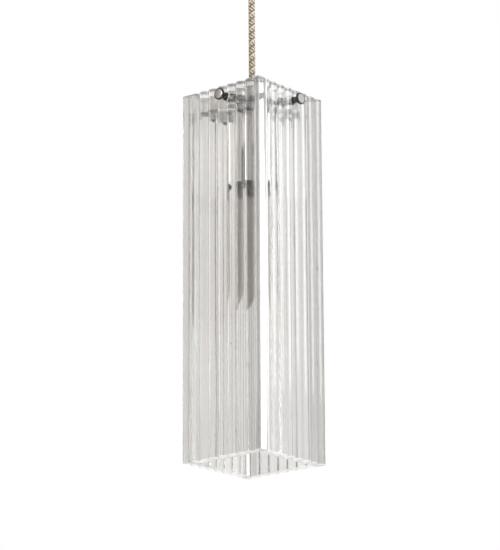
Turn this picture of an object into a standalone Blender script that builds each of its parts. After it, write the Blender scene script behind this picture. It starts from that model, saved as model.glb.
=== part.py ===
"""Hanging lantern of four ribbed glass panels round a lamp holder, in metres, +Z up.

The origin is the middle of the ceiling bracket's top face, and the lantern hangs below it.
Sides are built for +X and turned about Z in quarter turns, so the panels close like a pinwheel.
"""
import math

import bmesh
import bpy
from mathutils import Matrix, Vector

MM = 0.001
GAP = 0.3                    # running gap between separate pieces

# Driving sizes, in millimetres
GLASS_TOP = -175.0           # height of the glass's top edge below the ceiling
GLASS_HEIGHT = 377.0
GLASS_CREST = 50.0           # half the width over the rib crests
RIB_DEPTH = 4.0
GLASS_BASE = 7.2             # glass thickness behind the ribs
RIB_PITCH = 11.8
FULL_RIBS = 6                # plus one cut-off rib at each edge
BUTT_GAP = 0.4               # between a panel's edge and its neighbour's back
GLASS_ROUND = 1.0            # fire-polished top and bottom edges
EDGE_ROUND = 2.2             # rounded upright edges on the ribbed side
STUD_DROP = 11.8             # stud axis below the glass top
STUD_R = 1.5
STUD_HOLE_R = 1.8
GLASS_HOLE_R = 2.1
SPOT_R = 4.75                # ground flat round each glass hole
PAN_HALF = 37.2
PAN_WALL = 1.2
PAN_TOP = -4.0               # pan rim, measured from the glass top
PAN_UNDER = -22.0            # pan underside, measured from the glass top
PAN_CORNER = 5.0
PAN_BEND = 2.0
TUBE_HOLE_R = 5.4            # clears the M10 tube
TUBE_R = 5.0
TUBE_BORE_R = 3.75
TUBE_TOP, TUBE_END = -8.0, -33.0
CORD_R = 3.25
CORD_END = -36.0             # cord's lower end in the holder cap, from the glass top
CUP_R, CUP_WALL, CUP_MOUTH = 26.0, 1.2, -96.0
HOLDER_R = 19.5
HOLDER_MOUTH = -88.0
BULB_R, BULB_END = 22.0, -219.5
NUT_R, NUT_HEAD, NUT_LENGTH, NUT_COLLAR_R = 6.0, 2.5, 11.4, 3.1
ROSE_R, ROSE_WALL, ROSE_TOP, ROSE_UNDER = 42.0, 1.2, -0.5, -36.0
BRACKET_THICK, BRACKET_HALF_X, BRACKET_HALF_Y, BRACKET_EAR = 2.0, 38.6, 9.0, -15.0
CEILING_SCREW_X, CEILING_SCREW_R = 22.0, 2.5
ROSE_SCREW_Z = -9.0
SWING_Z = -42.0              # the cord swings about this height
SWING_CAVITY_R = 6.9
GRIP_MOUTH = -54.0

SIDES = ("right", "back", "left", "front")

CHROME = ("chrome", (0.80, 0.81, 0.82), 1.0, 0.10)
STEEL = ("brushed steel", (0.60, 0.60, 0.61), 1.0, 0.32)
BRASS = ("brass", (0.78, 0.60, 0.30), 1.0, 0.28)
GLASS = ("ribbed glass", (0.90, 0.94, 0.92), 0.0, 0.05)
OPAL = ("bulb glass", (0.72, 0.69, 0.66), 0.0, 0.25)
RUBBER = ("rubber", (0.05, 0.05, 0.05), 0.0, 0.8)
CERAMIC = ("holder ceramic", (0.04, 0.04, 0.04), 0.0, 0.35)
PLASTIC = ("terminal plastic", (0.82, 0.82, 0.78), 0.0, 0.5)
BLACK = ("black insulator", (0.03, 0.03, 0.03), 0.0, 0.4)
TEXTILE = ("braided textile", (0.42, 0.27, 0.13), 0.0, 0.85)


def clear_objects():
    """Start from an empty scene."""
    for obj in list(bpy.data.objects):
        bpy.data.objects.remove(obj, do_unlink=True)


def dress(obj, look):
    """Give an object its own Principled material."""
    title, colour, metallic, roughness = look
    mat = bpy.data.materials.new(f"{obj.name} {title}")
    mat.use_nodes = True
    shader = mat.node_tree.nodes["Principled BSDF"]
    shader.inputs["Base Color"].default_value = (*colour, 1.0)
    shader.inputs["Metallic"].default_value = metallic
    shader.inputs["Roughness"].default_value = roughness
    obj.data.materials.clear()
    obj.data.materials.append(mat)


def finish_mesh(name, bm, look, origin=(0, 0, 0), crease=35.0):
    """Turn a bmesh in millimetres into a smooth-shaded object whose origin is at `origin` (mm)."""
    bmesh.ops.recalc_face_normals(bm, faces=bm.faces)
    start = Vector(origin)
    for v in bm.verts:
        v.co = (v.co - start) * MM
    mesh = bpy.data.meshes.new(name)
    bm.to_mesh(mesh)
    bm.free()
    obj = bpy.data.objects.new(name, mesh)
    obj.location = start * MM
    bpy.context.collection.objects.link(obj)
    shade(obj, crease)
    dress(obj, look)
    return obj


def shade(obj, crease=35.0):
    """Shade an object smooth, with edges sharper than `crease` degrees kept crisp."""
    bm = bmesh.new()
    bm.from_mesh(obj.data)
    for face in bm.faces:
        face.smooth = True
    for edge in bm.edges:
        if len(edge.link_faces) == 2:
            edge.smooth = edge.calc_face_angle(0.0) < math.radians(crease)
    bm.to_mesh(obj.data)
    bm.free()


def join_loops(bm, loops, closed):
    """Skin equal-length loops of points. A closed chain joins the last loop back to the first."""
    rows = [[bm.verts.new(p) for p in loop] for loop in loops]
    pairs = list(zip(rows, rows[1:] + rows[:1])) if closed else list(zip(rows, rows[1:]))
    count = len(loops[0])
    for low, high in pairs:
        for i in range(count):
            j = (i + 1) % count
            bm.faces.new((low[i], low[j], high[j], high[i]))
    if not closed:
        bm.faces.new(rows[0])
        bm.faces.new(rows[-1])


def turned(name, profile, look, turn=None, origin=(0, 0, 0), count=24, crease=35.0):
    """Spin a profile of (radius, height) about Z. A profile that starts at radius 0 closes on the axis."""
    bm = bmesh.new()
    verts = [bm.verts.new((r, 0, z)) for r, z in profile]
    ends = verts[1:] + ([] if profile[0][0] == 0.0 else verts[:1])
    edges = [bm.edges.new(pair) for pair in zip(verts, ends)]
    bmesh.ops.spin(bm, geom=verts + edges, axis=(0, 0, 1), cent=(0, 0, 0), angle=2 * math.pi,
                   steps=count, use_merge=True)
    bmesh.ops.remove_doubles(bm, verts=bm.verts, dist=0.001)
    if turn:
        bmesh.ops.transform(bm, matrix=turn, verts=bm.verts)
    return finish_mesh(name, bm, look, origin, crease)


def arc(cx, cz, radius, start, end, steps):
    """Points on an arc in the profile plane, angles in degrees."""
    out = []
    for i in range(steps + 1):
        a = math.radians(start + (end - start) * i / steps)
        out.append((cx + radius * math.cos(a), cz + radius * math.sin(a)))
    return out


def side_turn(index):
    """Quarter turns about Z that take the +X side to side `index`."""
    return Matrix.Rotation(math.radians(90 * index), 4, "Z")


def on_stud(index):
    """Takes a piece built about Z with its base at 0 onto a side's stud axis, pointing outwards."""
    middle = (GLASS_CREST * 2 - GLASS_BASE - RIB_DEPTH - BUTT_GAP) / 2
    across = GLASS_CREST - middle
    place = Matrix.Translation((0, across, GLASS_TOP - STUD_DROP))
    return side_turn(index) @ place @ Matrix.Rotation(math.radians(90), 4, "Y")


def cut(obj, cutters):
    """Subtract the cutters one by one and remove them."""
    for cutter in cutters:
        cutter.hide_render = True
        cutter.display_type = "WIRE"
        mod = obj.modifiers.new("cut", "BOOLEAN")
        mod.operation = "DIFFERENCE"
        mod.solver = "EXACT"
        mod.object = cutter
        bpy.context.view_layer.objects.active = obj
        bpy.ops.object.modifier_apply(modifier=mod.name)
        bpy.data.objects.remove(cutter, do_unlink=True)
    shade(obj)


def drill(radius, start, end, turn=None, count=20):
    """A round cutter about Z from height start to end, then turned into place."""
    profile = [(0.0, start), (radius, start), (radius, end), (0.0, end)]
    return turned("drill", profile, STEEL, turn, count=count)


def hex_nut(name, low, high, across_flats, hole_r, look):
    """A hexagon nut round the Z axis."""
    count, half = 36, across_flats / 2
    angles = [2 * math.pi * i / count for i in range(count)]
    outer = [half / math.cos((a + math.pi / 6) % (math.pi / 3) - math.pi / 6) for a in angles]

    def ring(radii, z):
        return [(r * math.cos(a), r * math.sin(a), z) for r, a in zip(radii, angles)]

    hole = [hole_r] * count
    bm = bmesh.new()
    join_loops(bm, [ring(outer, low), ring(outer, high), ring(hole, high), ring(hole, low)], True)
    return finish_mesh(name, bm, look, crease=20.0)


# Ceiling fitting ---------------------------------------------------------------------------

def ceiling_bracket():
    """Bent bar screwed to the ceiling; its ears take the rose's side screws."""
    x, t, ear = BRACKET_HALF_X, BRACKET_THICK, BRACKET_EAR
    outer = [(-x, ear), *arc(-x + 3, -3, 3, 180, 90, 3), *arc(x - 3, -3, 3, 90, 0, 3), (x, ear)]
    inner = [(x - t, ear), *arc(x - 3, -3, 1, 0, 90, 2), *arc(-x + 3, -3, 1, 90, 180, 2), (-x + t, ear)]
    outline = outer + inner
    bm = bmesh.new()
    join_loops(bm, [[(px, y, pz) for px, pz in outline] for y in (-BRACKET_HALF_Y, BRACKET_HALF_Y)], False)
    bracket = finish_mesh("ceiling_bracket", bm, STEEL)
    down = [drill(CEILING_SCREW_R, -5, 2, Matrix.Translation((s * CEILING_SCREW_X, 0, 0))) for s in (-1, 1)]
    along = Matrix.Translation((0, 0, ROSE_SCREW_Z)) @ Matrix.Rotation(math.radians(90), 4, "Y")
    cut(bracket, down + [drill(2.3, -60, 60, along)])


def ceiling_rose():
    """Spun cover cup over the ceiling connection."""
    r, w, top, low, soft = ROSE_R, ROSE_WALL, ROSE_TOP, ROSE_UNDER, 6.0
    profile = [
        (TUBE_HOLE_R, low), *arc(r - soft, low + soft, soft, -90, 0, 4), (r, top),
        (r - w, top), *arc(r - soft, low + soft, soft - w, 0, -90, 3), (TUBE_HOLE_R, low + w),
    ]
    rose = turned("ceiling_rose", profile, CHROME, count=36)
    along = Matrix.Translation((0, 0, ROSE_SCREW_Z)) @ Matrix.Rotation(math.radians(90), 4, "Y")
    cut(rose, [drill(2.3, -60, 60, along)])


def rose_screw(name, sign):
    """Cheese-head screw through the rose's side into the bracket ear."""
    head = ROSE_R + GAP
    profile = [(0.0, 34.0), (2.0, 34.0), (2.0, head), (3.6, head), (3.6, head + 1.6),
               (3.0, head + 2.2), (0.0, head + 2.2)]
    turn = Matrix.Translation((0, 0, ROSE_SCREW_Z)) @ Matrix.Rotation(math.radians(90 * sign), 4, "Y")
    turned(name, profile, CHROME, turn, count=24)


def terminal_block():
    """Three-way connector block under the bracket, with its wire ways along Y."""
    half = (15.0, 7.0, 5.5)
    bm = bmesh.new()
    bmesh.ops.create_cube(bm, size=2.0)
    for v in bm.verts:
        v.co = Vector([c * h for c, h in zip(v.co, half)]) + Vector((0, 0, -BRACKET_THICK - GAP - half[2]))
    bmesh.ops.bevel(bm, geom=list(bm.edges), offset=0.8, segments=1, affect="EDGES")
    block = finish_mesh("terminal_block", bm, PLASTIC)
    lie = Matrix.Rotation(math.radians(90), 4, "X")
    ways = [drill(1.9, -12, 12, Matrix.Translation((x, 0, -BRACKET_THICK - GAP - 6.5)) @ lie, 20)
            for x in (-9.5, 0, 9.5)]
    cut(block, ways)


def rose_cord_grip():
    """Threaded stem through the rose, with a bell mouth in which the cord swings."""
    floor, mouth = ROSE_UNDER - GAP, GRIP_MOUTH
    profile = [
        (TUBE_R, -24.0), (TUBE_R, floor), (9.5, floor), (9.5, mouth + 0.8), (8.7, mouth),
        (SWING_CAVITY_R + 0.8, mouth), (SWING_CAVITY_R, mouth + 0.8), (SWING_CAVITY_R, -38.5),
        (TUBE_BORE_R, -38.5), (TUBE_BORE_R, -24.0),
    ]
    turned("rose_cord_grip", profile, CHROME)


def swing_bush():
    """Rubber ring round the cord at the point where it bends."""
    low, high = SWING_Z - 1.5, SWING_Z + 1.5
    profile = [(3.9, low), (5.4, low), (5.9, low + 0.5), (5.9, high - 0.5), (5.4, high), (3.9, high)]
    turned("swing_bush", profile, RUBBER, origin=(0, 0, SWING_Z), count=20)


def cord_run(name, top, end, origin_z):
    """A round cord hanging straight down, drawn as a bevelled curve with filled ends."""
    count = max(3, int(round((top - end) / (5.0 * CORD_R))) + 1)
    curve = bpy.data.curves.new(name, "CURVE")
    curve.dimensions = "3D"
    curve.bevel_depth = CORD_R * MM
    curve.bevel_resolution = 4
    curve.use_fill_caps = True
    spline = curve.splines.new("POLY")
    spline.points.add(count - 1)
    for i, point in enumerate(spline.points):
        z = top + (end - top) * i / (count - 1)
        point.co = (0, 0, (z - origin_z) * MM, 1)
    obj = bpy.data.objects.new(name, curve)
    obj.location = (0, 0, origin_z * MM)
    bpy.context.collection.objects.link(obj)
    dress(obj, TEXTILE)


# Carrier -----------------------------------------------------------------------------------

def pan_cord_grip():
    """Collar that clamps the cord and sits on the threaded tube's top, with its side screw."""
    g = GLASS_TOP
    seat = g + TUBE_TOP + GAP
    profile = [
        (TUBE_R + GAP, g - 13.0), (8.0, g - 13.0), *arc(6.0, g + 4.0, 2.0, 0, 90, 3),
        (CORD_R + GAP + 0.6, g + 6.0), (CORD_R + GAP, g + 5.4), (CORD_R + GAP, seat), (TUBE_R + GAP, seat),
    ]
    collar = turned("pan_cord_grip", profile, CHROME)
    place = Matrix.Translation((0, 0, g)) @ Matrix.Rotation(math.radians(90), 4, "Y")
    cut(collar, [drill(1.8, 3.0, 12.0, place, 24)])
    screw = [(0.0, CORD_R + GAP + 0.1), (1.5, CORD_R + GAP + 0.1), (1.5, 7.9), (1.1, 8.3), (0.0, 8.3)]
    turned("pan_grip_screw", screw, STEEL, place, count=24)


def threaded_tube():
    """M10 tube that ties the grip, the pan, the cup and the holder cap together."""
    g = GLASS_TOP
    low, high = g + TUBE_END, g + TUBE_TOP
    profile = [(TUBE_BORE_R, low), (TUBE_R - 0.4, low), (TUBE_R, low + 0.5), (TUBE_R, high - 0.5),
               (TUBE_R - 0.4, high), (TUBE_BORE_R, high)]
    turned("threaded_tube", profile, BRASS)


def square_loop(half, corner, z, steps=3, spans=4):
    """Rounded square outline, counter-clockwise, at height z."""
    rounded = []
    for quarter in range(4):
        base = math.radians(90 * quarter + 45)
        reach = (half - corner) * math.sqrt(2)
        for i in range(steps + 1):
            a = math.radians(90 * quarter + 90 * i / steps)
            rounded.append((reach * math.cos(base) + corner * math.cos(a),
                            reach * math.sin(base) + corner * math.sin(a), z))
    out = []
    for i, point in enumerate(rounded):
        out.append(point)
        if i % (steps + 1) == steps:
            start, end = Vector(point), Vector(rounded[(i + 1) % len(rounded)])
            out += [tuple(start.lerp(end, k / spans)) for k in range(1, spans)]
    return out


def round_loop(like, radius, z):
    """A circle with one point on the same bearing as each point of another outline."""
    return [(radius * x / math.hypot(x, y), radius * y / math.hypot(x, y), z) for x, y, _ in like]


def carrier_pan():
    """Folded square tray that holds the four studs, open at the top."""
    g, h, w, c, b = GLASS_TOP, PAN_HALF, PAN_WALL, PAN_CORNER, PAN_BEND
    top, low = g + PAN_TOP, g + PAN_UNDER
    floor = low + w
    outside = [square_loop(h - b + px, c - b + px, low + b + pz)
               for px, pz in arc(0, 0, b, -90, 0, 3)]
    inside = [square_loop(h - b + px, c - b + px, low + b + pz)
              for px, pz in arc(0, 0, b - w, 0, -90, 2)]
    hole = square_loop(h, c, floor)
    loops = [round_loop(hole, TUBE_HOLE_R, low), *outside, square_loop(h, c, top),
             square_loop(h - w, c - w, top), *inside, round_loop(hole, TUBE_HOLE_R, floor)]
    bm = bmesh.new()
    join_loops(bm, loops, True)
    pan = finish_mesh("carrier_pan", bm, CHROME)
    cut(pan, [drill(STUD_HOLE_R, 30.0, 42.0, on_stud(i), 16) for i in range(4)])


# Glass sides -------------------------------------------------------------------------------

def panel_outline():
    """Panel section in the XY plane for the +X side: flat at the back, ribs outwards."""
    back = GLASS_CREST - RIB_DEPTH - GLASS_BASE
    valley = GLASS_CREST - RIB_DEPTH
    y_low, y_high = -(back - BUTT_GAP), GLASS_CREST
    middle = (y_low + y_high) / 2
    edge = (y_high - y_low) / 2
    full = FULL_RIBS / 2 * RIB_PITCH
    half = RIB_PITCH / 2

    def height(offset):
        """Rib surface above the valley plane: an arc over each pitch, by distance from the middle."""
        rib = min(abs(offset) // RIB_PITCH, FULL_RIBS // 2)
        across = abs(offset) - (rib + 0.5) * RIB_PITCH
        radius = (half * half + RIB_DEPTH * RIB_DEPTH) / (2 * RIB_DEPTH)
        return max(0.0, math.sqrt(radius * radius - across * across) - radius + RIB_DEPTH)

    steps = [math.sin(math.radians(90 * k / 4)) for k in range(-4, 5)]
    ribs = []
    for rib in range(-FULL_RIBS // 2, FULL_RIBS // 2):
        centre = (rib + 0.5) * RIB_PITCH
        ribs += [centre + half * s for s in steps[1:-1]] + ([centre + half] if centre + half < full else [])
    cut_off = [full + half + half * s for s in steps[1:] if full + half + half * s < edge - EDGE_ROUND - 0.3]
    tail = [full, *cut_off, edge - EDGE_ROUND]
    offsets = [-o for o in reversed(tail)] + ribs + tail
    front = [(valley + height(o), middle + o) for o in offsets]
    shoulder = height(edge - EDGE_ROUND)
    curve = [(EDGE_ROUND * math.sin(math.radians(a)), EDGE_ROUND * (1 - math.cos(math.radians(a))))
             for a in (30, 60, 90)]
    upper = [(valley + shoulder - drop, middle + edge - EDGE_ROUND + out) for out, drop in curve]
    lower = [(x, 2 * middle - y) for x, y in reversed(upper)]
    heel = 0.8
    behind = [(back + heel, y_high), (back, y_high - heel), (back, y_low + heel), (back + heel, y_low)]
    return lower + front + upper + behind


def inset(outline, amount):
    """Move every point of a closed outline inwards along its corner's bisector."""
    out = []
    for i, (x, y) in enumerate(outline):
        (px, py), (nx, ny) = outline[i - 1], outline[(i + 1) % len(outline)]
        first, second = Vector((x - px, y - py)).normalized(), Vector((nx - x, ny - y)).normalized()
        normal = Vector((-(first.y + second.y), first.x + second.x))
        inward = normal.normalized() if normal.length > 1e-6 else Vector((-first.y, first.x))
        out.append((x + inward.x * amount, y + inward.y * amount))
    return out


def glass_panel(index):
    """One pressed glass side with rounded rims, a stud hole and a ground seat for the washer."""
    outline = panel_outline()
    top, low, r = GLASS_TOP, GLASS_TOP - GLASS_HEIGHT, GLASS_ROUND
    rise = ((0.0, 0.8), (0.8, 0.0))
    levels = [(low + r * up, r * back) for up, back in rise]
    levels += [(top - r * up, r * back) for up, back in reversed(rise)]
    loops = [[(x, y, z) for x, y in inset(outline, back)] for z, back in levels]
    bm = bmesh.new()
    join_loops(bm, loops, False)
    bmesh.ops.transform(bm, matrix=side_turn(index), verts=bm.verts)
    panel = finish_mesh(f"glass_panel_{SIDES[index]}", bm, GLASS, crease=40.0)
    valley = GLASS_CREST - RIB_DEPTH
    cut(panel, [drill(SPOT_R, valley, GLASS_CREST + 3, on_stud(index), 24),
                drill(GLASS_HOLE_R, valley - GLASS_BASE - 3, valley + 1, on_stud(index), 16)])


def side_fastening(index):
    """Stud, the washers on both faces of the glass, and the blind thumb nut."""
    side, turn = SIDES[index], on_stud(index)
    inner = PAN_HALF - PAN_WALL - GAP
    valley = GLASS_CREST - RIB_DEPTH
    seat = valley + 2 * GAP + 1.0
    stud = [(0.0, inner - 1.8), (2.6, inner - 1.8), (3.0, inner - 1.4), (3.0, inner), (STUD_R, inner),
            (STUD_R, seat + 6.4), (STUD_R - 0.4, seat + 6.7), (0.0, seat + 6.7)]
    turned(f"stud_{side}", stud, STEEL, turn, count=12)
    for place, low in (("inner", PAN_HALF + GAP), ("outer", valley + GAP)):
        ring = [(STUD_HOLE_R, low), (4.2, low), (4.2, low + 1.0), (STUD_HOLE_R, low + 1.0)]
        turned(f"{place}_washer_{side}", ring, RUBBER, turn, count=16)
    thumb_nut(f"thumb_nut_{side}", seat, turn)


def thumb_nut(name, seat, turn):
    """Thumb nut with a wide thin head and a narrow collar, closed at its face."""
    bore = STUD_R + GAP
    head, end = seat + NUT_LENGTH - NUT_HEAD, seat + NUT_LENGTH
    profile = [(0.0, seat + 7.0), (bore, seat + 7.0), (bore, seat), (NUT_COLLAR_R, seat), (NUT_COLLAR_R, head),
               (NUT_R - 0.4, head), (NUT_R, head + 0.4), (NUT_R, end - 0.4), (NUT_R - 0.5, end), (0.0, end)]
    turned(name, profile, CHROME, turn, turn @ Vector((0, 0, head)), count=20)


# Lamp holder and bulb ----------------------------------------------------------------------

def holder_cup():
    """Chrome cup that hides the lamp holder, open at the bottom."""
    g, r, w, soft = GLASS_TOP, CUP_R, CUP_WALL, 3.0
    top, mouth = g + PAN_UNDER - GAP, g + CUP_MOUTH
    profile = [
        (TUBE_HOLE_R, top), *arc(r - soft, top - soft, soft, 90, 0, 3), (r, mouth), (r - w, mouth),
        *arc(r - soft, top - soft, soft - w, 0, 90, 2), (TUBE_HOLE_R, top - w),
    ]
    turned("holder_cup", profile, CHROME, count=36)


def holder_parts():
    """Cap, ceramic body, threaded shell and centre contact."""
    g = GLASS_TOP
    top = g + PAN_UNDER - 2 * GAP - CUP_WALL
    r = HOLDER_R
    cap = [(TUBE_R + GAP, top), (12.0, top), *arc(12.0, top - 7.5, 7.5, 90, 0, 4), (r, g - 42.0),
           (r - 1.8, g - 42.0), *arc(12.0, top - 7.5, 5.7, 0, 90, 3), (TUBE_R + GAP, top - 1.8)]
    turned("holder_cap", cap, CERAMIC)
    hex_nut("cap_lock_nut", top - 5.3, top - 2.1, 15.0, TUBE_R + GAP, BRASS)
    body = [(0.0, g - 54.0), (r - 3.0, g - 54.0), (r - 3.0, g - 42.3), (r, g - 42.3), (r, g + HOLDER_MOUTH),
            (r - 3.0, g + HOLDER_MOUTH), (r - 3.0, g - 58.0), (0.0, g - 58.0)]
    turned("holder_body", body, CERAMIC)
    shell = [(6.0, g - 58.3), (15.0, g - 58.3), (15.0, g - 85.5), (14.2, g - 85.5), (14.2, g - 59.1),
             (6.0, g - 59.1)]
    turned("holder_shell", shell, BRASS)
    contact = [(0.0, g - 58.3), (3.4, g - 58.3), (3.4, g - 60.4), (2.4, g - 61.4), (0.0, g - 61.4)]
    turned("holder_contact", contact, BRASS, count=24)


def bulb():
    """Tubular lamp bulb: tip contact, insulator, threaded base and glass envelope."""
    g, at = GLASS_TOP, (0, 0, GLASS_TOP - 80.0)
    tip = [(0.0, g - 61.8), (3.0, g - 61.8), (4.6, g - 62.6), (4.6, g - 63.4), (0.0, g - 63.4)]
    turned("bulb_tip_contact", tip, BRASS, origin=at, count=28)
    insulator = [(0.0, g - 63.7), (4.9, g - 63.7), (11.4, g - 67.4), (0.0, g - 67.4)]
    turned("bulb_insulator", insulator, BLACK, origin=at, count=28)
    base = [(0.0, g - 67.7), (11.8, g - 67.7), (13.3, g - 69.0), (13.3, g - 86.0), (0.0, g - 86.0)]
    turned("bulb_base", base, CHROME, origin=at, count=28)
    wall, neck, swell = 1.0, 12.9, 16.0
    outer = [(neck, g - 86.3)]
    for i in range(1, 6):
        s = i / 5
        outer.append((neck + (BULB_R - neck) * (3 * s * s - 2 * s ** 3), g - 87.3 - swell * s))
    end = g + BULB_END
    outer += arc(0, end + BULB_R, BULB_R, 0, -75, 5) + [(0.0, end)]
    inner = [(r - wall, z) for r, z in outer[:6]]
    inner += arc(0, end + BULB_R, BULB_R - wall, 0, -75, 5) + [(0.0, end + wall)]
    turned("bulb_glass", list(reversed(inner)) + outer, OPAL, origin=at, count=26, crease=60.0)


def main():
    """Build every piece of the lantern."""
    clear_objects()
    g = GLASS_TOP
    ceiling_bracket()
    ceiling_rose()
    rose_screw("rose_screw_right", 1)
    rose_screw("rose_screw_left", -1)
    terminal_block()
    rose_cord_grip()
    hex_nut("rose_lock_nut", ROSE_UNDER + ROSE_WALL + GAP, ROSE_UNDER + ROSE_WALL + GAP + 3.5, 15.0,
            TUBE_R + GAP, BRASS)
    cord_run("cord_tail", -16.5, SWING_Z + 2.8, SWING_Z)
    swing_bush()
    cord_run("suspension_cord", SWING_Z + 1.5, g + CORD_END, SWING_Z)
    pan_cord_grip()
    threaded_tube()
    hex_nut("pan_lock_nut", g + PAN_UNDER + PAN_WALL + GAP, g + PAN_UNDER + PAN_WALL + GAP + 3.4, 15.0,
            TUBE_R + GAP, BRASS)
    carrier_pan()
    for index in range(4):
        glass_panel(index)
        side_fastening(index)
    holder_cup()
    holder_parts()
    bulb()


main()
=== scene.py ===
"""Looks of a hanging lantern: ribbed glass panels on a chrome tray round a lamp holder, on a braided cord."""
import logging
import math
from dataclasses import dataclass
from enum import Enum
from typing import Callable, Iterable, Sequence

import bmesh
import bpy
from mathutils import Matrix, Vector


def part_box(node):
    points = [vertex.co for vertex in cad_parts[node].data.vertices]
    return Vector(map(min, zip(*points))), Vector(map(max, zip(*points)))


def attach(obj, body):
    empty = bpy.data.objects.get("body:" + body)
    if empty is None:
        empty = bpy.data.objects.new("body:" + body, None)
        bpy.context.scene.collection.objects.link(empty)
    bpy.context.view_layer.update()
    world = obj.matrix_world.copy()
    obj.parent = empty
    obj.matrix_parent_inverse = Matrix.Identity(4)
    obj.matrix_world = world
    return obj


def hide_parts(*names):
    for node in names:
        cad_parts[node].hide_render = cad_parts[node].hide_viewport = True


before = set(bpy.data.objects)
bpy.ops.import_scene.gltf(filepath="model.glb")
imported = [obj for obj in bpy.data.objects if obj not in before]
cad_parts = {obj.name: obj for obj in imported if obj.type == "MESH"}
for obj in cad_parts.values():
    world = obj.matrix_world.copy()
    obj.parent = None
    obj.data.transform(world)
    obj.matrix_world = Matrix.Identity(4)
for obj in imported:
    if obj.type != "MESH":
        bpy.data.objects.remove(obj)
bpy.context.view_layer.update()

LOG = logging.getLogger("lantern")
MM = 0.001
MERGE = 2e-6  # vertices closer than this are one, in metres
Point = tuple[float, float, float]
Profile = list[tuple[float, float]]


class Body(Enum):
    """Rigid bodies of the lantern, by their names in the frame."""

    CEILING = "ceiling_fitting"
    LINK = "swing_link"
    CORD = "cord"
    LANTERN = "lantern"
    BULB = "bulb"


class Side(Enum):
    """The four glass sides, numbered in quarter turns from +X."""

    RIGHT = 0
    BACK = 1
    LEFT = 2
    FRONT = 3

    @property
    def word(self) -> str:
        """The side's name in node names."""
        return self.name.lower()

    @property
    def turn(self) -> Matrix:
        """Quarter turns about Z that take the +X side here."""
        return Matrix.Rotation(math.radians(90 * self.value), 4, "Z")


def scaled(colour: Sequence[float], factor: float) -> tuple[float, ...]:
    """A colour times a factor."""
    return tuple(c * factor for c in colour)


def along_x(y: float, z: float, degrees: float = 90.0) -> Matrix:
    """Lays a piece that is built up Z along X, through a place in millimetres."""
    return Matrix.Translation((0, y * MM, z * MM)) @ Matrix.Rotation(math.radians(degrees), 4, "Y")


# Shader maths ------------------------------------------------------------------------------


class Value:
    """A number socket on which Python's operators make Math nodes."""

    def __init__(self, graph: "Graph", socket: bpy.types.NodeSocket) -> None:
        """Wrap one socket of a graph."""
        self.graph, self.socket = graph, socket

    def _math(self, kind: str, *terms: "Value | float") -> "Value":
        """Add one Math node.

        Args:
            kind: the Math node's operation.
            terms: its inputs, in order.

        Returns:
            The node's result.
        """
        return self.graph.node("ShaderNodeMath", {"operation": kind}, dict(enumerate(terms)))["Value"]

    def __add__(self, other: "Value | float") -> "Value":
        """Sum."""
        return self._math("ADD", self, other)

    __radd__ = __add__

    def __mul__(self, other: "Value | float") -> "Value":
        """Product."""
        return self._math("MULTIPLY", self, other)

    def __sub__(self, other: "Value | float") -> "Value":
        """Difference."""
        return self._math("SUBTRACT", self, other)

    def __rsub__(self, other: "Value | float") -> "Value":
        """Difference with the number first."""
        return self._math("SUBTRACT", other, self)

    def above(self, other: float) -> "Value":
        """One where the value is above the other, else zero."""
        return self._math("GREATER_THAN", self, other)

    def higher(self, other: "Value | float") -> "Value":
        """The larger of the two."""
        return self._math("MAXIMUM", self, other)

    def step(self, low: float, high: float) -> "Value":
        """Smooth step from 0 at low to 1 at high."""
        inputs = {"Value": self, "From Min": low, "From Max": high}
        return self.graph.node("ShaderNodeMapRange", {"interpolation_type": "SMOOTHSTEP"}, inputs)["Result"]


class Outputs:
    """A node's outputs by name, as wrapped sockets."""

    def __init__(self, graph: "Graph", node: bpy.types.Node) -> None:
        """Wrap one node."""
        self.graph, self.raw = graph, node

    def __getitem__(self, name: "str | int") -> Value:
        """The output socket of that name."""
        return Value(self.graph, self.raw.outputs[name])


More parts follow.
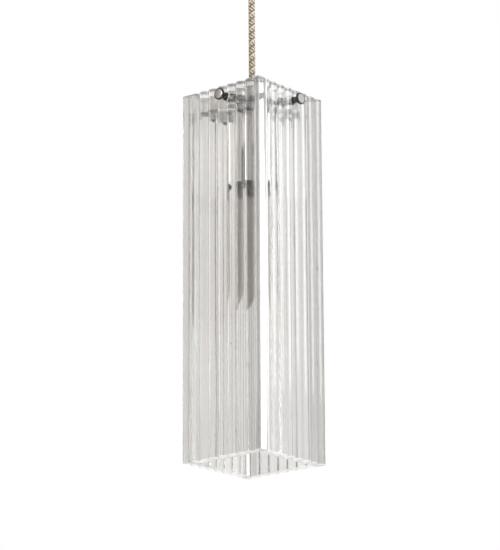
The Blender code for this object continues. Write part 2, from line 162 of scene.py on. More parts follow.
class Graph:
    """A node tree that is built by one call per node."""

    def __init__(self, tree: bpy.types.NodeTree) -> None:
        """Start on an empty tree."""
        self.tree = tree
        tree.nodes.clear()

    def node(self, kind: str, settings: "dict | None" = None, inputs: "dict | None" = None) -> Outputs:
        """Add a node.

        Args:
            kind: the node's type.
            settings: its properties.
            inputs: values or wrapped sockets for its input sockets, by name or number.

        Returns:
            Its outputs.
        """
        made = self.tree.nodes.new(kind)
        for key, value in (settings or {}).items():
            setattr(made, key, value)
        for key, value in (inputs or {}).items():
            if isinstance(value, Value):
                self.tree.links.new(value.socket, made.inputs[key])
            else:
                made.inputs[key].default_value = value
        return Outputs(self, made)

    def spot(self) -> Value:
        """Object coordinates, in metres."""
        return self.node("ShaderNodeTexCoord")["Object"]

    def height(self) -> Value:
        """Height in object coordinates, in metres."""
        return self.node("ShaderNodeSeparateXYZ", None, {0: self.spot()})["Z"]

    def mark(self, name: str) -> Value:
        """A number that the piece's mesh carries under a name."""
        return self.node("ShaderNodeAttribute", {"attribute_name": name})["Fac"]

    def stretched(self, scale: Point) -> Value:
        """Object coordinates scaled along each axis."""
        return self.node("ShaderNodeMapping", None, {"Vector": self.spot(), "Scale": scale})["Vector"]

    def noise(self, scale: float, detail: float = 3.0, where: "Value | None" = None) -> Value:
        """Soft noise from 0 to 1."""
        inputs = {"Vector": where or self.spot(), "Scale": scale, "Detail": detail}
        return self.node("ShaderNodeTexNoise", None, inputs)["Fac"]

    def tint(self, factor: "Value | float", first: Sequence[float], second: Sequence[float]) -> Value:
        """Mix two plain colours.

        Args:
            factor: 0 gives the first, 1 the second.
            first: colour as three numbers, or a wrapped colour.
            second: the same.

        Returns:
            The mixed colour.
        """
        ends = {k: v if isinstance(v, Value) else (*v, 1.0) for k, v in ((6, first), (7, second))}
        return self.node("ShaderNodeMix", {"data_type": "RGBA"}, {0: factor, **ends})[2]

    def bump(self, height: Value, strength: float, distance: float) -> Value:
        """A normal pushed by a height map, distance in metres."""
        inputs = {"Height": height, "Strength": strength, "Distance": distance}
        return self.node("ShaderNodeBump", None, inputs)["Normal"]


@dataclass(frozen=True)
class Finish:
    """One surface finish. Subclasses say how it varies over the surface."""

    title: str
    colour: tuple[float, float, float]
    roughness: float
    slot: str

    def inputs(self, graph: Graph) -> dict:
        """Shader inputs of this finish.

        Args:
            graph: the material's graph.

        Returns:
            Values for the Principled shader by input name.
        """
        return {"Base Color": (*self.colour, 1.0), "Roughness": self.roughness}

    def surface(self, graph: Graph) -> Value:
        """The finish's shader.

        Args:
            graph: the material's graph.

        Returns:
            Its shader socket.
        """
        return graph.node("ShaderNodeBsdfPrincipled", None, self.inputs(graph))["BSDF"]

    def make(self) -> bpy.types.Material:
        """Build the material, or return it when it exists."""
        material = bpy.data.materials.get(self.title)
        if material:
            return material
        material = bpy.data.materials.new(self.title)
        material.use_nodes = True
        graph = Graph(material.node_tree)
        graph.node("ShaderNodeOutputMaterial", None, {"Surface": self.surface(graph)})
        return material


@dataclass(frozen=True)
class Metal(Finish):
    """Plated or turned metal with handling marks and fine turning lines."""

    lines: Point = (60.0, 60.0, 2600.0)
    smudge: float = 0.06
    relief: float = 0.00002
    depth: float = 0.86

    def inputs(self, graph: Graph) -> dict:
        """Colour, gloss and relief of the metal."""
        marks = self.marks(graph)
        fine = graph.noise(1.0, 2.0, graph.stretched(self.lines))
        return {
            "Base Color": graph.tint(marks.step(0.35, 0.75), self.colour, scaled(self.colour, self.depth)),
            "Metallic": 1.0,
            "Roughness": self.roughness + marks.step(0.4, 0.8) * self.smudge + fine * (self.smudge * 0.5),
            "Normal": graph.bump(fine, 0.25, self.relief),
        }

    def marks(self, graph: Graph) -> Value:
        """Where the metal is duller, from 0 to 1."""
        return graph.noise(55.0, 5.0)


@dataclass(frozen=True)
class StreakedChrome(Metal):
    """Chrome with painted dark reflection streaks down its wall."""

    def marks(self, graph: Graph) -> Value:
        """Painted reflection streaks all the way down."""
        return graph.noise(1.0, 3.0, graph.stretched((140.0, 140.0, 8.0))).step(0.5, 0.66)


@dataclass(frozen=True)
class TrayChrome(Metal):
    """Chrome with painted shade in blotches on its bent lower edge and floor, below a height."""

    low: float = -0.1945
    high: float = -0.1925

    def marks(self, graph: Graph) -> Value:
        """Painted shade in blotches below the height, nothing above it."""
        return (1.0 - graph.height().step(self.low, self.high)) * graph.noise(110.0, 3.0).step(0.3, 0.5)


@dataclass(frozen=True)
class KnurledChrome(Metal):
    """Chrome with painted shade wherever the "knurl" attribute marks a knurl, rim or neck."""

    def marks(self, graph: Graph) -> Value:
        """Painted shade on knurl, rim and neck, and faint wear on the face."""
        return graph.mark("knurl").higher(graph.noise(300.0) * 0.4)


@dataclass(frozen=True)
class PressedGlass(Finish):
    """Clear pressed glass with drawn waves, small seeds, a thin film, and painted shade that darkens the valleys
    between its ribs.
    """

    wave: float = 0.00016
    grain: float = 0.000005
    seed: float = 0.0004
    seedless: float = 0.91
    # painted shade: how far the valleys, long edges and joint are darkened
    valley_shade: float = 0.52
    bend: float = 1.22
    ground: float = 0.5
    haze: float = 0.035
    milk: Point = (0.95, 0.95, 0.94)
    thin_milk: Point = (0.80, 0.81, 0.80)
    # painted shade: colour of the whitish part in the valleys
    shaded_valley_milk: Point = (0.42, 0.41, 0.40)

    def inputs(self, graph: Graph) -> dict:
        """Tint with painted valley shade, gloss, waves and seeds of the glass."""
        slow = graph.noise(1.0, 2.0, graph.stretched((55.0, 55.0, 9.0)))
        skin = graph.noise(1.0, 3.0, graph.stretched((420.0, 420.0, 120.0)))
        spread = {"Vector": graph.spot(), "Scale": 70.0, "Randomness": 1.0}
        cells = graph.node("ShaderNodeTexVoronoi", None, spread)
        rare = graph.node("ShaderNodeSeparateColor", None, {0: cells["Color"]})["Red"].above(self.seedless)
        seeds = (1.0 - cells["Distance"].step(0.05, 0.10)) * rare
        relief = slow * self.wave + skin * self.grain + seeds * self.seed
        film = graph.noise(30.0, 4.0).step(0.45, 0.8)
        # painted shade: the "valley" attribute darkens valleys, long edges and joint; the film and the seeds
        # darken a little too
        dim = (graph.mark("valley") * 0.9 + film * 0.05).higher(seeds)
        return {
            "Base Color": graph.tint(dim, self.colour, scaled(self.colour, self.valley_shade)),
            "Roughness": self.roughness + film * 0.03 + seeds * 0.15,
            "IOR": self.bend,
            "Transmission Weight": 1.0,
            "Coat Weight": 1.0,
            "Coat Roughness": 0.1,
            "Normal": graph.bump(relief, 1.0, 1.0),
        }

    def surface(self, graph: Graph) -> Value:
        """Clear, faintly hazy faces, and whitish ones where the "cut" attribute says the panel was ground; both
        carry painted shade in the valleys.
        """
        clear = graph.node("ShaderNodeBsdfPrincipled", None, self.inputs(graph))["BSDF"]
        bloom = graph.tint(graph.noise(160.0, 4.0), self.milk, self.thin_milk)
        white = graph.node("ShaderNodeBsdfPrincipled", None, {
            # painted shade in the valleys of the whitish part
            "Base Color": graph.tint(graph.mark("valley"), bloom, self.shaded_valley_milk),
            "Roughness": 0.35,
            "Coat Weight": 0.5,
        })["BSDF"]
        share = graph.mark("cut") * self.ground + self.haze
        return graph.node("ShaderNodeMixShader", None, {0: share, 1: clear, 2: white})["Shader"]


@dataclass(frozen=True)
class Opal(Finish):
    """Satin opal glass with a thin gloss skin, a little clouding and painted shade on its neck, where it goes into
    the cup.
    """

    neck_shade_low: float = -0.290
    neck_shade_high: float = -0.282
    # colour of the painted shade on the bulb's neck
    paint: Point = (0.03, 0.03, 0.03)

    def inputs(self, graph: Graph) -> dict:
        """Cloudy colour under a clear skin, dark where shade is painted on the neck."""
        cloud = graph.noise(38.0, 4.0)
        # painted shade: dark above a height just below the cup's mouth
        painted = (graph.height() + cloud * 0.002).step(self.neck_shade_low, self.neck_shade_high)
        clouded = graph.tint(cloud.step(0.3, 0.75), self.colour, scaled(self.colour, 0.88))
        return {
            "Base Color": graph.tint(painted, clouded, self.paint),
            "Roughness": self.roughness + cloud * 0.08,
            "Coat Weight": 0.6,
            "Coat Roughness": 0.08,
            "Normal": graph.bump(cloud, 0.1, 0.0004),
        }


@dataclass(frozen=True)
class Moulding(Finish):
    """Moulded plastic, rubber or glaze with a fine skin and slight mottling."""

    grain: float = 900.0
    relief: float = 0.00006
    coat: float = 0.0

    def inputs(self, graph: Graph) -> dict:
        """Mottled colour and fine grain."""
        mottle, skin = graph.noise(70.0, 4.0), graph.noise(self.grain, 3.0)
        return {
            "Base Color": graph.tint(mottle.step(0.3, 0.8), self.colour, scaled(self.colour, 0.82)),
            "Roughness": self.roughness + skin * 0.12,
            "Coat Weight": self.coat,
            "Coat Roughness": 0.1,
            "Normal": graph.bump(skin, 0.4, self.relief),
        }


@dataclass(frozen=True)
class Braid(Finish):
    """Textile braid read from the cord's own strand attributes."""

    dark: tuple[float, float, float] = (0.085, 0.04, 0.02)

    def inputs(self, graph: Graph) -> dict:
        """Brown and cream yarns with fibres, and painted shade in the crevices between yarns."""
        along = graph.node("ShaderNodeUVMap", {"uv_map": "run"})["UV"]
        drawn = graph.node("ShaderNodeMapping", None, {"Vector": along, "Scale": (60, 60, 1)})["Vector"]
        fibre = graph.noise(1.0, 2.0, drawn)
        base = graph.tint(graph.mark("yarn"), self.colour, self.dark)
        # painted shade: darker where the braid dips between yarns
        shade = graph.tint(graph.mark("crevice_shade"), base, scaled(self.dark, 0.35))
        return {
            "Base Color": graph.tint((fibre - 0.35) * 0.8, shade, scaled(self.colour, 1.1)),
            "Roughness": self.roughness + fibre * 0.1,
            "Sheen Weight": 0.35,
            "Sheen Roughness": 0.5,
            "Normal": graph.bump(fibre, 0.5, 0.00015),
        }


@dataclass(frozen=True)
class Plaster(Finish):
    """Pale painted floor."""

    def inputs(self, graph: Graph) -> dict:
        """Barely mottled pale paint."""
        mottle = graph.noise(2.0, 4.0)
        return {
            "Base Color": graph.tint(mottle, self.colour, scaled(self.colour, 0.97)),
            "Roughness": self.roughness,
        }


CHROME = Metal("polished chrome", (0.88, 0.885, 0.89), 0.06, "chrome")
# painted shade: the knurl, rim and neck are painted far darker than the face
NUT_CHROME = KnurledChrome("knurled chrome with painted shade", (0.60, 0.60, 0.605), 0.1, "chrome", depth=0.12)
# painted shade: the tray's lower edge and floor are darkened in blotches
TRAY_CHROME = TrayChrome("tarnished chrome", (0.95, 0.955, 0.96), 0.14, "chrome", depth=0.44)
# painted reflection: dark vertical streaks in the cup's colour
CUP_CHROME = StreakedChrome("streaked chrome", (0.94, 0.945, 0.95), 0.07, "chrome", depth=0.28)
ZINC = Metal("zinc plated steel", (0.60, 0.60, 0.61), 0.26, "zinc_steel", smudge=0.12)
BRASS = Metal("turned brass", (0.78, 0.60, 0.30), 0.2, "brass", smudge=0.1)
BULB_METAL = Metal("rolled bulb metal", (0.78, 0.78, 0.79), 0.18, "bulb_metal", smudge=0.08)
GLASS = PressedGlass("clear pressed glass", (0.966, 0.962, 0.954), 0.045, "clear_glass")
OPAL = Opal("satin opal glass", (0.50, 0.46, 0.43), 0.22, "bulb_glass")
RUBBER = Moulding("soft black rubber", (0.03, 0.03, 0.03), 0.7, "rubber")
GLAZE = Moulding(
    "black holder glaze", (0.035, 0.034, 0.033), 0.2, "holder_ceramic", grain=160.0, relief=0.00003, coat=0.6
)
NYLON = Moulding("natural nylon", (0.74, 0.73, 0.68), 0.42, "terminal_plastic")
VITRITE = Moulding(
    "black vitrite", (0.02, 0.02, 0.022), 0.12, "black_insulator", grain=300.0, relief=0.00003, coat=0.8
)
TEXTILE = Braid("brown and cream braid", (0.84, 0.75, 0.58), 0.8, "textile")
FLOOR = Plaster("pale floor", (0.95, 0.95, 0.945), 0.7, "")


# Bench -------------------------------------------------------------------------------------


def deselect() -> None:
    """Leave nothing selected or active."""
    if bpy.context.object and bpy.context.object.mode != "OBJECT":
        bpy.ops.object.mode_set(mode="OBJECT")
    bpy.ops.object.select_all(action="DESELECT")


def only(obj: bpy.types.Object) -> None:
    """Select one object and make it active."""
    deselect()
    obj.select_set(True)
    bpy.context.view_layer.objects.active = obj


def pick(obj: bpy.types.Object, test: Callable[[Vector, Vector], bool]) -> None:
    """Select, in edit mode, the faces that a test of middle and normal accepts.

    Args:
        obj: the object in edit mode.
        test: takes a face's middle and normal.
    """
    bpy.ops.mesh.select_mode(type="FACE")
    bpy.ops.mesh.select_all(action="DESELECT")
    bm = bmesh.from_edit_mesh(obj.data)
    for face in bm.faces:
        face.select_set(test(face.calc_center_median(), face.normal))
    bmesh.update_edit_mesh(obj.data)


def draw_line(points: Sequence[Point], closed: bool) -> bpy.types.Object:
    """Draw a line by extruding one vertex from point to point, and stay in edit mode.

    Args:
        points: the corners in metres.
        closed: whether the last point joins the first.

    Returns:
        The new object.
    """
    deselect()
    bpy.ops.mesh.primitive_plane_add(size=0.001, location=(0, 0, 0))
    obj = bpy.context.active_object
    bpy.ops.object.mode_set(mode="EDIT")
    bpy.ops.mesh.select_mode(type="VERT")
    bpy.ops.mesh.select_all(action="SELECT")
    bpy.ops.mesh.merge(type="CENTER")
    bpy.ops.transform.translate(value=points[0])
    route = [*points, points[0]] if closed else points
    for here, there in zip(route, route[1:]):
        step = tuple(b - a for a, b in zip(here, there))
        bpy.ops.mesh.extrude_vertices_move(TRANSFORM_OT_translate={"value": step})
    bpy.ops.mesh.select_all(action="SELECT")
    bpy.ops.mesh.remove_doubles(threshold=MERGE)
    return obj


def face_out(merge: float = 0.0) -> None:
    """Turn every face of the object in edit mode outwards.

    Args:
        merge: first merge vertices closer than this many metres, if not 0.
    """
    bpy.ops.mesh.select_all(action="SELECT")
    if merge:
        bpy.ops.mesh.remove_doubles(threshold=merge)
    bpy.ops.mesh.normals_make_consistent(inside=False)


def soften(width: float, segments: int = 3, angle: float = 38.0) -> None:
    """Bevel the sharp edges of the object in edit mode.

    Args:
        width: bevel width in metres.
        segments: steps across the bevel.
        angle: least edge angle in degrees.
    """
    bpy.ops.mesh.select_mode(type="EDGE")
    bpy.ops.mesh.select_all(action="DESELECT")
    bpy.ops.mesh.edges_select_sharp(sharpness=math.radians(angle))
    bpy.ops.mesh.bevel(offset=width, segments=segments, affect="EDGES", clamp_overlap=True)


def lathe(profile: Profile, steps: int = 72, edge: float = 0.2) -> bpy.types.Object:
    """Spin a (radius, height) profile, in millimetres, round Z and soften its edges.

    Args:
        profile: corners; a profile that starts and ends on the axis is left open there.
        steps: divisions round the axis.
        edge: edge rounding in millimetres, or 0.

    Returns:
        The turned object, in object mode.
    """
    on_axis = profile[0][0] == 0.0 and profile[-1][0] == 0.0
    obj = draw_line([(r * MM, 0.0, z * MM) for r, z in profile], not on_axis)
    bpy.ops.mesh.select_all(action="SELECT")
    bpy.ops.mesh.spin(steps=steps, angle=2 * math.pi, center=(0, 0, 0), axis=(0, 0, 1))
    face_out(MERGE)
    if edge:
        soften(edge * MM)
    bpy.ops.object.mode_set(mode="OBJECT")
    return obj


def carve(obj: bpy.types.Object, cutters: Iterable[bpy.types.Object]) -> None:
    """Cut shapes out of an object and throw them away."""
    for cutter in cutters:
        only(obj)
        cut = obj.modifiers.new("cut", "BOOLEAN")
        cut.operation, cut.solver, cut.object = "DIFFERENCE", "EXACT", cutter
        bpy.ops.object.modifier_apply(modifier=cut.name)
        bpy.data.objects.remove(cutter, do_unlink=True)


def rod(radius: float, low: float, high: float, place: Matrix, sides: int = 48) -> bpy.types.Object:
    """A drill for carve, along Z from low to high in millimetres, then placed."""
    deselect()
    bpy.ops.mesh.primitive_cylinder_add(
        vertices=sides, radius=radius * MM, depth=(high - low) * MM, location=(0, 0, (high + low) / 2 * MM)
    )
    drill = bpy.context.active_object
    settle(drill, place)
    return drill


def settle(obj: bpy.types.Object, place: "Matrix | None" = None) -> None:
    """Bake an object's place, and an extra turn or move, into its mesh."""
    only(obj)
    bpy.ops.object.transform_apply(location=True, rotation=True, scale=True)
    if place is not None:
        obj.matrix_world = place
        bpy.context.view_layer.update()
        bpy.ops.object.transform_apply(location=True, rotation=True, scale=True)


def hand_over(
    obj: bpy.types.Object, name: str, finish: Finish, body: str, nodes: Sequence[str] = (), angle: float = 35.0
) -> bpy.types.Object:
    """Name, shade, dress and register a finished piece.

    Args:
        obj: the finished piece, already in its place.
        name: its name.
        finish: its surface.
        body: the body it rides on.
        nodes: CAD nodes that it stands for.
        angle: edges sharper than this many degrees stay crisp.

    Returns:
        The same object.
    """
    obj.name = obj.data.name = name
    only(obj)
    bpy.ops.object.shade_smooth_by_angle(angle=math.radians(angle))
    obj.data.materials.clear()
    obj.data.materials.append(finish.make())
    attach(obj, body)
    if nodes:
        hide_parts(*nodes)
    return obj


def duplicate(obj: bpy.types.Object, place: Matrix) -> bpy.types.Object:
    """Copy a piece with its own mesh, then turn or move the copy."""
    copy = obj.copy()
    copy.data = obj.data.copy()
    bpy.context.collection.objects.link(copy)
    settle(copy, place)
    return copy


def arc(x: float, z: float, radius: float, start: float, end: float, steps: int) -> Profile:
    """Points along an arc of a profile, angles in degrees."""
    angles = [math.radians(start + (end - start) * i / steps) for i in range(steps + 1)]
    return [(x + radius * math.cos(a), z + radius * math.sin(a)) for a in angles]


def thread(radius: float, depth: float, low: float, high: float, pitch: float) -> Profile:
    """Rounded ridges along a turned wall from low to high."""
    turns = max(1, int(abs(high - low) / pitch))
    count = turns * 6
    return [
        (radius - depth * (1 - math.cos(2 * math.pi * turns * i / count)) / 2, low + (high - low) * i / count)
        for i in range(count + 1)
    ]


# Sub-assemblies ----------------------------------------------------------------------------


@dataclass
class Cords:
    """The hanging flex and its tail inside the ceiling cup."""

    radius: float = 3.25
    relief: float = 0.22
    carriers: int = 8
    lay: float = 15.0
    dark: tuple[int, ...] = (0, 1, 2, 4, 5)
    around: int = 64
    ring_step: float = 0.33
    path_step: float = 4.0

    def braid(self, name: str, top: float, end: float) -> tuple[bpy.types.Object, list[Point]]:
        """Weave a round braid along a straight drop.

        Args:
            name: the piece's name.
            top: upper end in millimetres.
            end: lower end in millimetres.

        Returns:
            The tube and the points that it follows, in metres.
        """
        rings, around = max(24, int((top - end) / self.ring_step)), self.around
        bm = bmesh.new()
        run = bm.loops.layers.uv.new("run")
        rows, facts = [], {}
        for i in range(rings + 1):
            z = top + (end - top) * i / rings
            row = []
            for k in range(around):
                angle = k / around
                rise, yarn = self.weave(angle, (top - z) / self.lay)
                r = self.radius - self.relief * 0.5 + self.relief * rise
                a = 2 * math.pi * angle
                vert = bm.verts.new((r * math.cos(a) * MM, r * math.sin(a) * MM, z * MM))
                # the second number is the depth between yarns, where shade is painted
                facts[vert] = (yarn, 1.0 - rise)
                row.append(vert)
            rows.append(row)
        for i, (high, low) in enumerate(zip(rows, rows[1:])):
            for k in range(around):
                j = (k + 1) % around
                face = bm.faces.new((low[k], low[j], high[j], high[k]))
                spots = ((k, i + 1), (k + 1, i + 1), (k + 1, i), (k, i))
                for loop, (u, v) in zip(face.loops, spots):
                    loop[run].uv = (u / around, v * (top - end) / rings / (2 * math.pi * self.radius))
        for row, z in ((rows[0], top), (rows[-1], end)):
            tip = bm.verts.new((0, 0, z * MM))
            facts[tip] = (1.0, 0.6)
            for k in range(around):
                bm.faces.new((row[k], row[(k + 1) % around], tip))
        bmesh.ops.recalc_face_normals(bm, faces=bm.faces)
        bm.verts.index_update()
        values = [facts[v] for v in bm.verts]
        mesh = bpy.data.meshes.new(name)
        bm.to_mesh(mesh)
        bm.free()
        for title, place in (("yarn", 0), ("crevice_shade", 1)):
            layer = mesh.attributes.new(title, "FLOAT", "POINT")
            layer.data.foreach_set("value", [pair[place] for pair in values])
        tube = bpy.data.objects.new(name, mesh)
        bpy.context.collection.objects.link(tube)
        points = max(3, int((top - end) / self.path_step))
        return tube, [(0.0, 0.0, (top + (end - top) * i / points) * MM) for i in range(points + 1)]

    def weave(self, angle: float, along: float) -> tuple[float, float]:
        """Height and colour of the braid at one place.

        Args:
            angle: place round the cord in turns.
            along: place along the cord in lays.

        Returns:
            Relief from 0 to 1, and 1 for a dark yarn or 0 for a cream one.
        """
        one, two = (angle + along) * self.carriers, (angle - along) * self.carriers
        first, second = math.cos(math.pi * (one % 1.0 - 0.5)), math.cos(math.pi * (two % 1.0 - 0.5))
        over = (int(math.floor(one)) + int(math.floor(two))) % 2 == 0
        crown = math.sin(math.pi * ((two if over else one) % 1.0))
        top = first if over else second
        index = int(math.floor(one if over else two)) % self.carriers
        dark = index in self.dark if over else index % 2 == 0
        return min(1.0, 0.35 + 0.65 * top * (0.4 + 0.6 * crown)), 1.0 if dark else 0.0

    def build(self) -> None:
        low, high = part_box("suspension_cord")
        cord, path = self.braid("hanging_cord", high[2] / MM, low[2] / MM)
        tail_low, tail_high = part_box("cord_tail")
        tail, _ = self.braid("ceiling_cord_tail", tail_high[2] / MM, tail_low[2] / MM)
        hand_over(cord, "hanging_cord", TEXTILE, Body.CORD.value, ["suspension_cord"], 60.0)
        hand_over(tail, "ceiling_cord_tail", TEXTILE, Body.CEILING.value, ["cord_tail"], 60.0)


@dataclass
class CeilingFitting:
    """Cover cup, its side screws, cord grip and swing bush; its lock nut stays the CAD piece."""

    radius: float = 42.0
    wall: float = 1.2
    top: float = -0.5
    under: float = -36.0
    shoulder: float = 6.0
    screw_height: float = -9.0
    swing: float = -42.0

    def build(self) -> None:
        """Make the visible pieces of the ceiling fitting."""
        r, w, low, soft = self.radius, self.wall, self.under, self.shoulder
        cup = lathe([
            (5.4, low), *arc(r - soft, low + soft, soft, -90, 0, 10), (r, self.top), (r - w, self.top),
            *arc(r - soft, low + soft, soft - w, 0, -90, 10), (5.4, low + w),
        ], 128, 0.15)
        carve(cup, [rod(2.3, -60, 60, along_x(0, self.screw_height))])
        hand_over(cup, "ceiling_cup", CHROME, Body.CEILING.value, ["ceiling_rose"])
        self.screws()
        self.grip()
        low, high = self.swing - 1.5, self.swing + 1.5
        bush = lathe([(3.9, low), (5.9, low), (5.9, high), (3.9, high)], 64, 0.5)
        hand_over(bush, "swing_bush_ring", RUBBER, Body.LINK.value, ["swing_bush"])

    def screws(self) -> None:
        """Two slotted screws through the cup's side."""
        head = self.radius + 0.3
        crown = head + 2.2
        profile = [
            (0.0, 34.0), (1.6, 34.0), *thread(2.0, 0.25, 34.4, head - 0.4, 0.7), (2.0, head), (3.6, head),
            (3.6, head + 1.6), (3.0, crown), (0.0, crown),
        ]
        for name, sign in (("rose_screw_right", 1), ("rose_screw_left", -1)):
            screw = lathe(profile, 48, 0.15)
            deselect()
            bpy.ops.mesh.primitive_cube_add(size=1.0, location=(0, 0, crown * MM))
            slot = bpy.context.active_object
            slot.scale = (0.9 * MM, 10 * MM, 1.6 * MM)
            settle(slot)
            carve(screw, [slot])
            settle(screw, along_x(0, self.screw_height, 90 * sign))
            hand_over(screw, f"{name}_slotted", CHROME, Body.CEILING.value, [name])

    def grip(self) -> None:
        """Cord grip with its threaded stem and bell mouth."""
        grip = lathe([
            (3.75, -24.0), *thread(5.0, 0.35, -24.6, -35.4, 1.0), (5.0, -36.3), (9.5, -36.3), (9.5, -37.6),
            (9.1, -38.0), (9.1, -49.5), (9.5, -50.0), (9.5, -53.0), (8.6, -54.0), (7.3, -54.0), (6.9, -53.2),
            (6.9, -38.5), (3.75, -38.5),
        ], 96, 0.12)
        hand_over(grip, "ceiling_cord_grip", CHROME, Body.CEILING.value, ["rose_cord_grip"])


@dataclass
class Carrier:
    """Square chrome tray, the threaded tube through it, and the collar on the cord."""

    half: float = 37.2
    wall: float = 1.2
    corner: float = 5.0
    bend: float = 2.0
    top: float = -4.0
    under: float = -22.0

    def build(self, glass_top: float) -> None:
        """Make the tray, tube and collar.

        Args:
            glass_top: height of the glass's top edge in millimetres.
        """
        self.tray(glass_top)
        low, high = glass_top - 33.0, glass_top - 8.0
        tube = lathe([
            (3.75, low), (4.6, low), *thread(5.0, 0.3, low + 0.5, high - 0.5, 1.0), (4.6, high), (3.75, high),
        ], 64, 0.0)
        hand_over(tube, "carrier_tube", BRASS, Body.LANTERN.value, ["threaded_tube"], 60.0)
        g = glass_top
        collar = lathe([
            (5.3, g - 13.0), (8.0, g - 13.0), (8.0, g - 11.4), (7.6, g - 11.0), (7.6, g + 2.6),
            *arc(6.0, g + 4.0, 2.0, 0, 90, 8), (4.2, g + 6.0), (3.55, g + 5.4), (3.55, g - 7.7), (5.3, g - 7.7),
        ], 80, 0.15)
        carve(collar, [rod(1.8, 3.0, 12.0, along_x(0, g), 32)])
        hand_over(collar, "carrier_cord_grip", CHROME, Body.CORD.value, ["pan_cord_grip"])

    def tray(self, glass_top: float) -> None:
        """Bend up the tray from a block: rounded corners, open top, even wall."""
        high, low = glass_top + self.top, glass_top + self.under
        deselect()
        bpy.ops.mesh.primitive_cube_add(size=1.0, location=(0, 0, (high + low) / 2 * MM))
        tray = bpy.context.active_object
        tray.scale = (2 * self.half * MM, 2 * self.half * MM, (high - low) * MM)
        settle(tray)
        bpy.ops.object.mode_set(mode="EDIT")
        self.edges(tray, lambda a, b: abs(a.z - b.z) > 0.005)
        bpy.ops.mesh.bevel(offset=self.corner * MM, segments=10, affect="EDGES")
        self.edges(tray, lambda a, b: max(a.z, b.z) < (low + 0.1) * MM)
        bpy.ops.mesh.bevel(offset=self.bend * MM, segments=6, affect="EDGES")
        pick(tray, lambda middle, normal: normal.z > 0.9)
        bpy.ops.mesh.delete(type="FACE")
        face_out()
        bpy.ops.object.mode_set(mode="OBJECT")
        skin = tray.modifiers.new("wall", "SOLIDIFY")
        skin.thickness, skin.offset, skin.use_even_offset = self.wall * MM, -1.0, True
        only(tray)
        bpy.ops.object.modifier_apply(modifier=skin.name)
        drills = [rod(5.4, glass_top - 30, glass_top - 15, Matrix.Identity(4), 64)]
        drills += [rod(1.8, 30, 42, Fastening.axis(side, glass_top), 32) for side in Side]
        carve(tray, drills)
        only(tray)
        bpy.ops.object.mode_set(mode="EDIT")
        soften(0.18 * MM, 2, 60.0)
        bpy.ops.object.mode_set(mode="OBJECT")
        hand_over(tray, "carrier_tray", TRAY_CHROME, Body.LANTERN.value, ["carrier_pan"], 40.0)

    @staticmethod
    def edges(obj: bpy.types.Object, test: Callable[[Vector, Vector], bool]) -> None:
        """Select, in edit mode, the edges whose two ends pass a test."""
        bpy.ops.mesh.select_mode(type="EDGE")
        bpy.ops.mesh.select_all(action="DESELECT")
        bm = bmesh.from_edit_mesh(obj.data)
        for edge in bm.edges:
            edge.select_set(test(edge.verts[0].co, edge.verts[1].co))
        bmesh.update_edit_mesh(obj.data)


